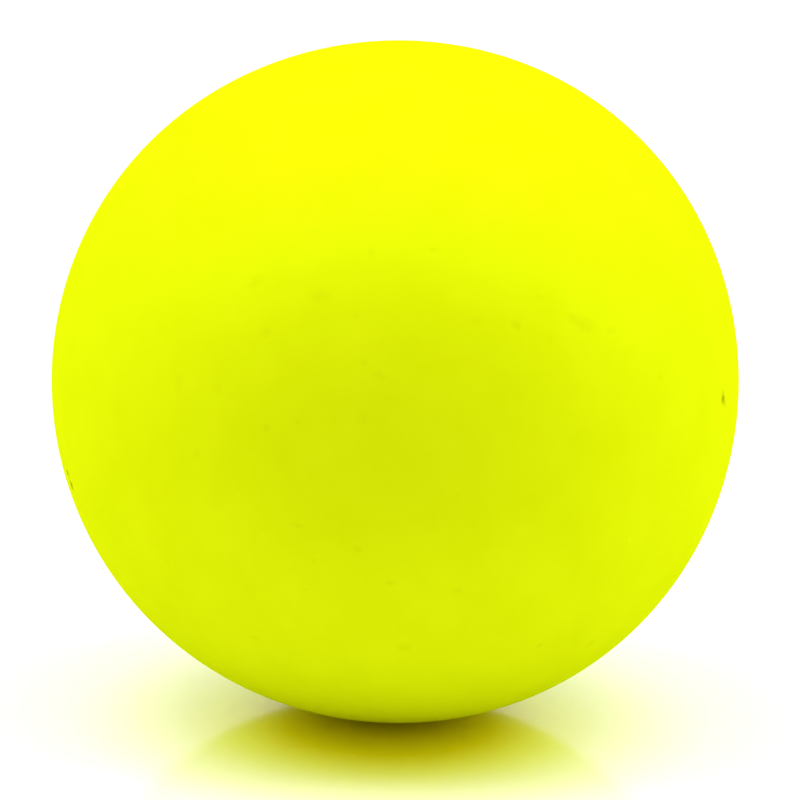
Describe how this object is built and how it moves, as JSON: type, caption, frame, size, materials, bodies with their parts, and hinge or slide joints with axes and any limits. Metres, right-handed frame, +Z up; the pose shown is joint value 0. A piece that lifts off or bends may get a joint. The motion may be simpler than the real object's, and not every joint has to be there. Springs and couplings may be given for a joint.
{
  "type": "petanque jack",
  "caption": "Small painted wooden target ball for petanque, fluorescent yellow, turned from boxwood, with a white undercoat and a few open end-grain pores.",
  "frame": {"origin": "the lowest point of the ball, where it touches the ground", "axes": "+Z up, +X along the grain of the wood, to the right in the picture, and -Y towards the picture's camera"},
  "size_m": [0.03, 0.0298, 0.0298],
  "materials": {
    "boxwood": "satin",
    "white_primer": "matte",
    "fluorescent_yellow_paint": "satin"
  },
  "bodies": {
    "root": {"wooden_ball": "boxwood", "white_undercoat": "white_primer", "fluorescent_topcoat": "fluorescent_yellow_paint"}
  },
  "joints": []
}
